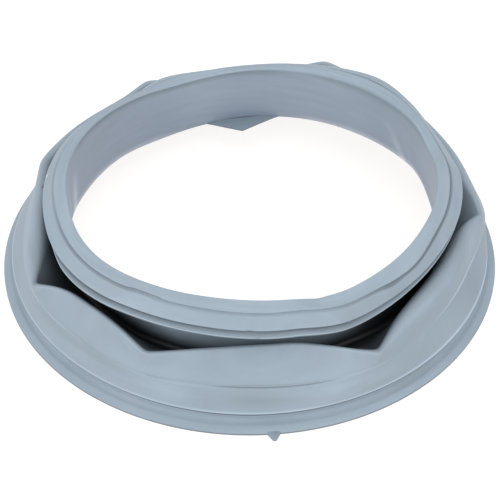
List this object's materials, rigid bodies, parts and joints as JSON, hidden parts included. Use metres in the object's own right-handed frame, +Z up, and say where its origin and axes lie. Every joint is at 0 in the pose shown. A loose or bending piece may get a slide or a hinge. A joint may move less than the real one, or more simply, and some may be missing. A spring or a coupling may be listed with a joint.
{
  "type": "washing machine door seal",
  "caption": "Folded round rubber door seal with a rolled head ring, a wavy bellows, a wide tub flange with a clamp groove, a small drain flap inside and a locating tab.",
  "frame": {"origin": "centre of the tub flange, on the plane that its foot rests on", "axes": "+Z up along the seal's axis from the tub flange to the head ring; +Y towards the drain flap; +X to the right with the locating tab nearest"},
  "size_m": [0.37, 0.375, 0.0775],
  "materials": {
    "rubber": "satin moulded rubber, blue grey"
  },
  "bodies": {
    "root": {"door_seal": "rubber"}
  },
  "joints": []
}
